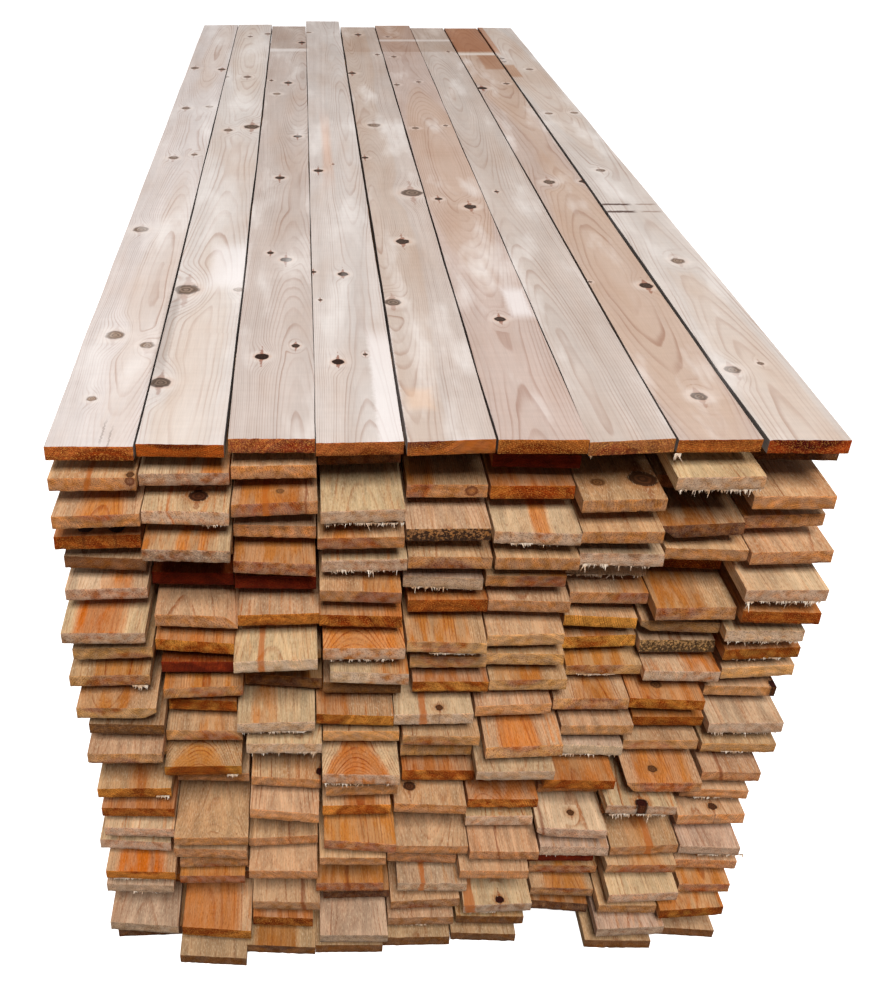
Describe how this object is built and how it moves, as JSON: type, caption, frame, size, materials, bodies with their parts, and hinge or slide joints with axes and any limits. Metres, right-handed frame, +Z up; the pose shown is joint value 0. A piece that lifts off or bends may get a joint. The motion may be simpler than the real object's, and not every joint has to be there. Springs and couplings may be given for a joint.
{
  "type": "stack of lumber",
  "caption": "Stickered stack of sawn softwood boards: level layers of boards laid side by side, with spacer laths across each layer to let air through.",
  "frame": {"origin": "on the floor, in the middle of the stack's bounding box", "axes": "+Z is up; +Y runs along the boards, from their front ends to their back ends; +X runs across the boards, to the right as seen from the front"},
  "size_m": [0.967, 2.6432, 0.9],
  "materials": {
    "top_boards": "sawn pine boards, dry, and slightly greyed by light on their open faces",
    "boards": "sawn pine boards and spacer laths, with rough cross-cut ends"
  },
  "bodies": {
    "root": {"top_board_1": "top_boards", "top_board_2": "top_boards", "top_board_3": "top_boards", "top_board_4": "top_boards", "top_board_5": "top_boards", "top_board_6": "top_boards", "top_board_7": "top_boards", "top_board_8": "top_boards", "top_board_9": "top_boards", "board_layer_02": "boards", "board_layer_03": "boards", "board_layer_04": "boards", "board_layer_05": "boards", "board_layer_06": "boards", "board_layer_07": "boards", "board_layer_08": "boards", "board_layer_09": "boards", "board_layer_10": "boards", "board_layer_11": "boards", "board_layer_12": "boards", "board_layer_13": "boards", "board_layer_14": "boards", "board_layer_15": "boards", "board_layer_16": "boards", "board_layer_17": "boards", "board_layer_18": "boards", "board_layer_19": "boards", "board_layer_20": "boards", "board_layer_21": "boards", "board_layer_22": "boards"}
  },
  "joints": []
}
